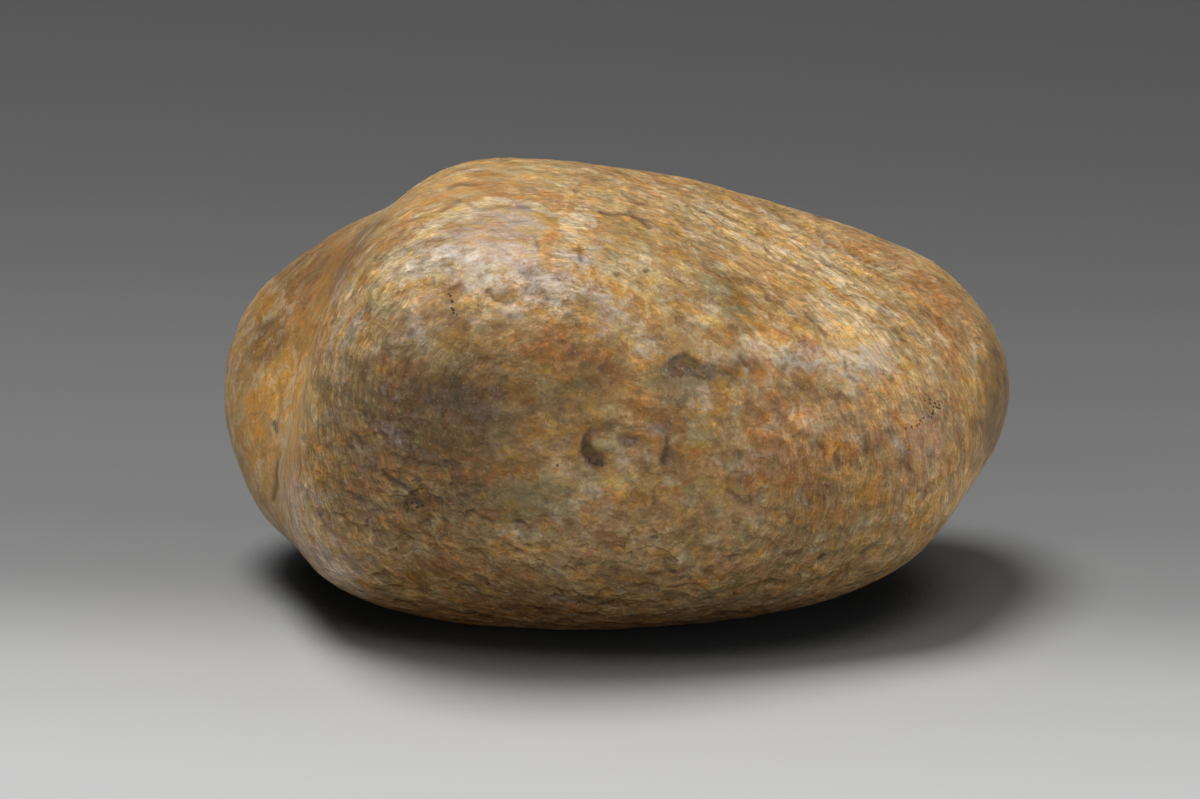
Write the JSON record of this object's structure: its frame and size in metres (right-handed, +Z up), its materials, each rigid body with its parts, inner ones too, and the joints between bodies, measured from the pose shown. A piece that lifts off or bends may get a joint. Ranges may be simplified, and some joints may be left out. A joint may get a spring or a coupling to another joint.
{
  "type": "stone pestle",
  "caption": "Hand pestle carved from one rounded cobble: a pecked, lopsided grip body, a soft waist and a lower back lobe, resting on a small flat.",
  "frame": {"origin": "middle of the stone's outline in plan, on the surface that it rests on", "axes": "+Z up from the rest face, +X along the long axis towards the lower end, -Y towards the broad pecked face"},
  "size_m": [0.109, 0.0664, 0.0616],
  "materials": {
    "stone": "waxy, worn smooth over pecking"
  },
  "bodies": {
    "root": {"pestle_stone": "stone"}
  },
  "joints": []
}
